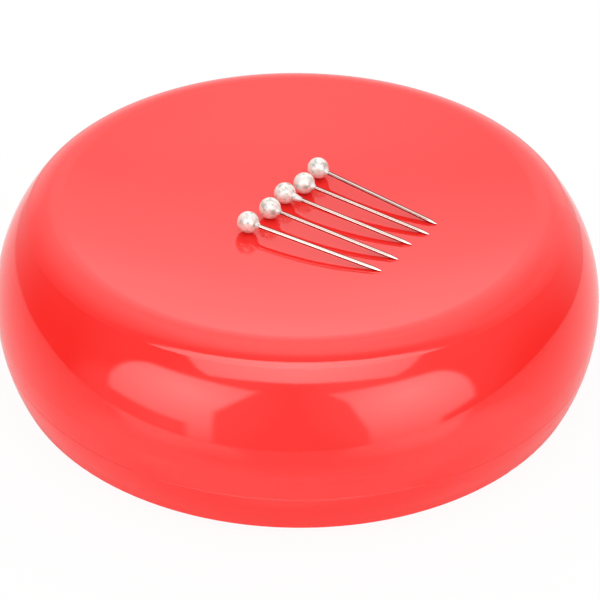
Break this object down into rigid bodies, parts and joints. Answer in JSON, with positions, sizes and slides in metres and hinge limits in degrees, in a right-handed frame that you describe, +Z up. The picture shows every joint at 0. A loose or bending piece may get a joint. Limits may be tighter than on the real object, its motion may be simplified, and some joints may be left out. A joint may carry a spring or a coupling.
{
  "type": "magnetic pin bowl",
  "caption": "Round puffy plastic pin bowl with a shallow dish, a hidden ring magnet and pearl-headed pins that lift off.",
  "frame": {"origin": "middle of the bowl, on the surface that its feet stand on", "axes": "+Z up out of the dish; the picture looks along +Y with +X to the right"},
  "size_m": [0.108, 0.108, 0.0335],
  "materials": {
    "red_shell": "gloss",
    "pearl": "gloss",
    "pin_steel": "polished",
    "ferrite": "matte",
    "zinc_steel": "satin",
    "screw_steel": "satin",
    "foam": "matte",
    "foot_rubber": "matte"
  },
  "bodies": {
    "bowl": {"top_shell": "red_shell", "base_cover": "red_shell", "ring_magnet": "ferrite", "foam_ring": "foam", "keeper_plate": "zinc_steel", "keeper_washer": "screw_steel", "keeper_screw": "screw_steel", "case_screws": "screw_steel", "foot_right": "foot_rubber", "foot_back": "foot_rubber", "foot_left": "foot_rubber", "foot_front": "foot_rubber"},
    "pin_1": {"pin_shaft_1": "pin_steel", "pin_head_1": "pearl"},
    "pin_2": {"pin_shaft_2": "pin_steel", "pin_head_2": "pearl"},
    "pin_3": {"pin_shaft_3": "pin_steel", "pin_head_3": "pearl"},
    "pin_4": {"pin_shaft_4": "pin_steel", "pin_head_4": "pearl"},
    "pin_5": {"pin_shaft_5": "pin_steel", "pin_head_5": "pearl"}
  },
  "joints": [
    {"name": "pin_1_lift", "type": "slide", "parent": "bowl", "child": "pin_1", "axis": [0, 0, 1], "range_m": [0, 0.06]},
    {"name": "pin_2_lift", "type": "slide", "parent": "bowl", "child": "pin_2", "axis": [0, 0, 1], "range_m": [0, 0.06]},
    {"name": "pin_3_lift", "type": "slide", "parent": "bowl", "child": "pin_3", "axis": [0, 0, 1], "range_m": [0, 0.06]},
    {"name": "pin_4_lift", "type": "slide", "parent": "bowl", "child": "pin_4", "axis": [0, 0, 1], "range_m": [0, 0.06]},
    {"name": "pin_5_lift", "type": "slide", "parent": "bowl", "child": "pin_5", "axis": [0, 0, 1], "range_m": [0, 0.06]}
  ]
}
